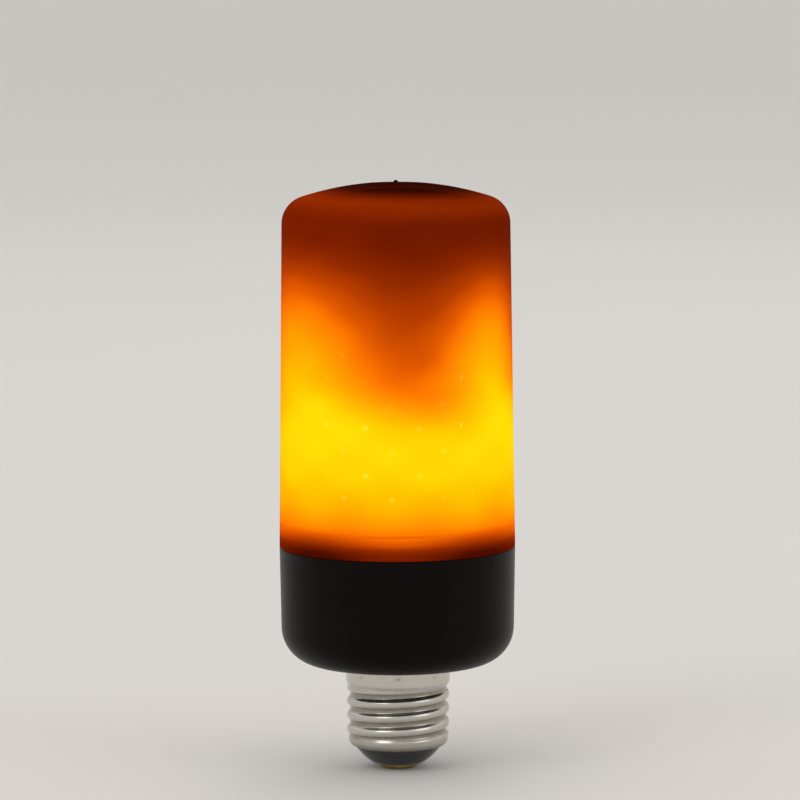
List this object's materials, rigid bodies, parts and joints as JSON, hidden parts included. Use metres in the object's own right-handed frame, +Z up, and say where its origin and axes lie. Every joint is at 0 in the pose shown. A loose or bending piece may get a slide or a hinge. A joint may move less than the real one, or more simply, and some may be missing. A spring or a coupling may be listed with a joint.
{
  "type": "flame effect led bulb",
  "caption": "Cylindrical LED bulb with a glowing amber frosted diffuser, flame pattern of LEDs inside, a dark round-edged housing and a large screw cap",
  "frame": {"origin": "the tip of the centre contact, on the bulb's axis", "axes": "+Z up along the bulb's axis from the screw cap to the dome; -Y faces the viewer; +X to the viewer's right"},
  "size_m": [0.06, 0.06, 0.1502],
  "materials": {
    "frosted_cover": "frosted, satin",
    "dark_plastic": "moulded, fine satin grain",
    "nickel_shell": "rolled and nickel plated",
    "black_insulator": "moulded, glossy",
    "contact_brass": "pressed, slightly dull",
    "white_plastic": "moulded",
    "black_plastic": "moulded",
    "amber_film": "etched film",
    "screw_steel": "zinc plated",
    "green_laminate": "solder mask",
    "sleeved_can": "shrunk sleeve",
    "red_case": "moulded case",
    "ferrite": "sintered, matt",
    "chip_resin": "moulded resin",
    "plated_can": "tin plated",
    "resistor_coat": "dipped coat",
    "live_insulation": "extruded",
    "neutral_insulation": "extruded",
    "led_package": "moulded with a clear window"
  },
  "bodies": {
    "root": {"diffuser": "frosted_cover", "housing": "dark_plastic", "screw_shell": "nickel_shell", "cap_insulator": "black_insulator", "centre_contact": "contact_brass", "led_carrier": "white_plastic", "carrier_cap": "black_plastic", "flex_board": "amber_film", "carrier_screws": "screw_steel", "driver_board": "green_laminate", "board_screws": "screw_steel", "electrolytic_capacitor": "sleeved_can", "film_capacitor": "red_case", "inductor": "ferrite", "bridge_rectifier": "chip_resin", "driver_chip": "chip_resin", "flame_controller": "chip_resin", "tilt_switch": "plated_can", "fuse_resistor": "resistor_coat", "board_connector": "white_plastic", "live_wire": "live_insulation", "neutral_wire": "neutral_insulation", "led_row_1": "led_package", "led_row_2": "led_package", "led_row_3": "led_package", "led_row_4": "led_package", "led_row_5": "led_package", "led_row_6": "led_package", "led_row_7": "led_package", "led_row_8": "led_package", "led_row_9": "led_package", "led_row_10": "led_package", "led_row_11": "led_package"}
  },
  "joints": []
}
